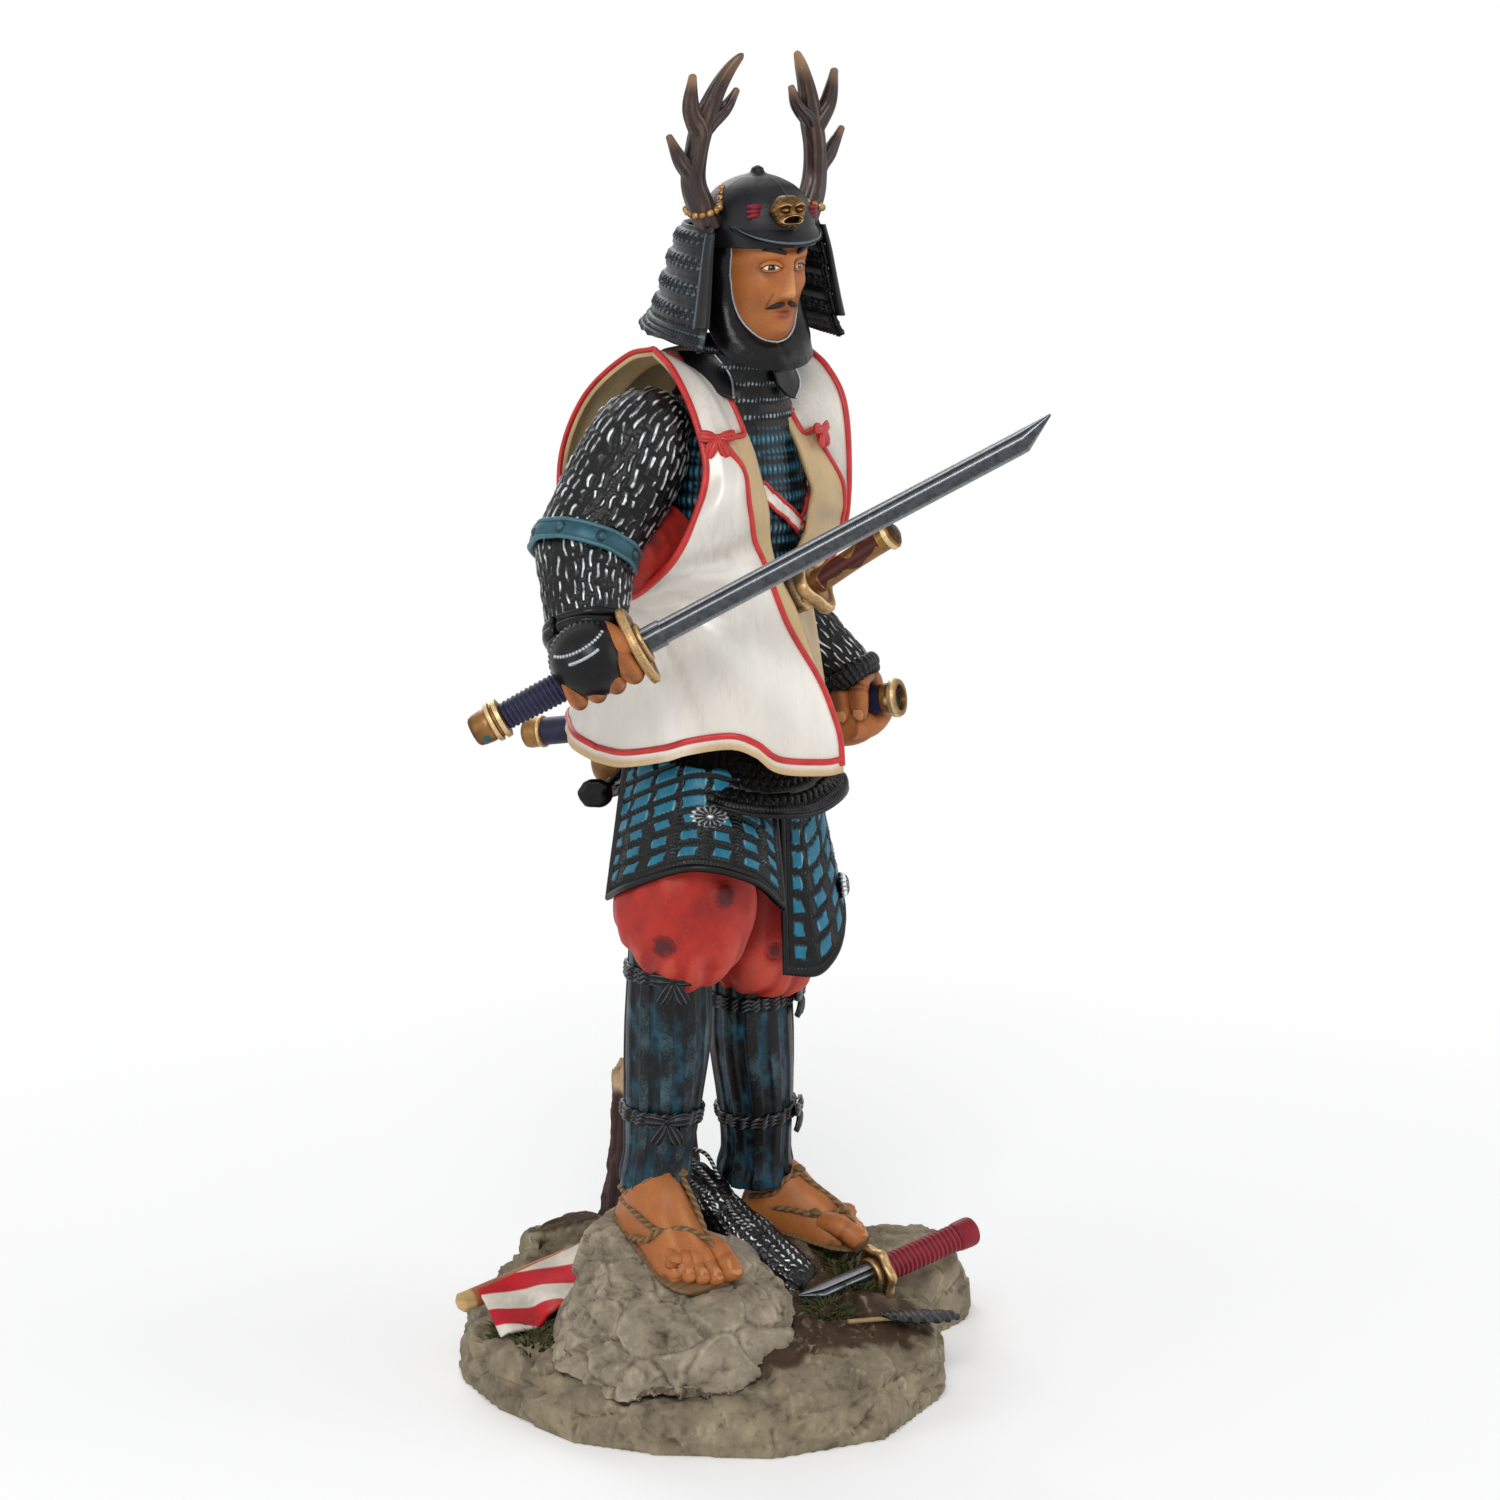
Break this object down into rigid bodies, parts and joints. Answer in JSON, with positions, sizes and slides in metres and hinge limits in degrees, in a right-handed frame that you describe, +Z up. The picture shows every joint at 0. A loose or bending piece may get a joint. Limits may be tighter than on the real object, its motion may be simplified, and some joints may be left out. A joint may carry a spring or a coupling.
{
  "type": "samurai figurine",
  "caption": "Painted resin figurine of an armoured samurai with drawn sword and antlered helmet, standing on a rocky base.",
  "frame": {"origin": "on the base's flat underside, below the pelvis of the figure", "axes": "-Y is where the chest faces, +X is the figure's left, +Z is up"},
  "size_m": [0.1548, 0.1568, 0.3005],
  "materials": {
    "stone": "matt painted stone",
    "boulder_stone": "matt painted stone",
    "bark": "matt painted bark",
    "banner_wood": "matt painted wood",
    "banner_cloth": "matt painted cloth",
    "fallen_mail": "black paint brushed with silver",
    "fallen_sword_paint": "satin paint",
    "feather": "matt paint",
    "breeches": "satin paint",
    "guard_plates_right": "satin paint",
    "guard_plates_left": "satin paint",
    "cuirass": "satin paint",
    "coat": "pearl paint",
    "right_mail": "black paint brushed with silver",
    "left_mail": "black paint brushed with silver",
    "skin": "satin paint",
    "lacquer": "satin black paint",
    "gilt": "aged gilt",
    "antler_paint_right": "gloss paint",
    "antler_paint_left": "gloss paint",
    "steel": "brushed steel paint",
    "guard_gilt": "aged gilt",
    "grip_binding": "satin paint",
    "scabbard_paint": "satin paint",
    "hilt_paint": "aged gilt and red-brown paint",
    "sheath_end_paint": "satin paint"
  },
  "bodies": {
    "root": {"rock_base": "stone", "boulder": "boulder_stone", "tree_stump": "bark", "banner_pole": "banner_wood", "banner": "banner_cloth", "fallen_sleeve": "fallen_mail", "fallen_sword": "fallen_sword_paint", "arrow": "feather", "legs": "breeches", "thigh_guard_right": "guard_plates_right", "thigh_guard_left": "guard_plates_left", "torso": "cuirass", "surcoat": "coat", "right_arm": "right_mail", "left_arm": "left_mail", "head": "skin", "helmet": "lacquer", "helmet_crest": "gilt", "antler_right": "antler_paint_right", "antler_left": "antler_paint_left", "katana_blade": "steel", "katana_guard": "guard_gilt", "katana_grip": "grip_binding", "katana_scabbard": "scabbard_paint", "short_sword_hilt": "hilt_paint", "scabbard_end_knob": "sheath_end_paint"}
  },
  "joints": []
}
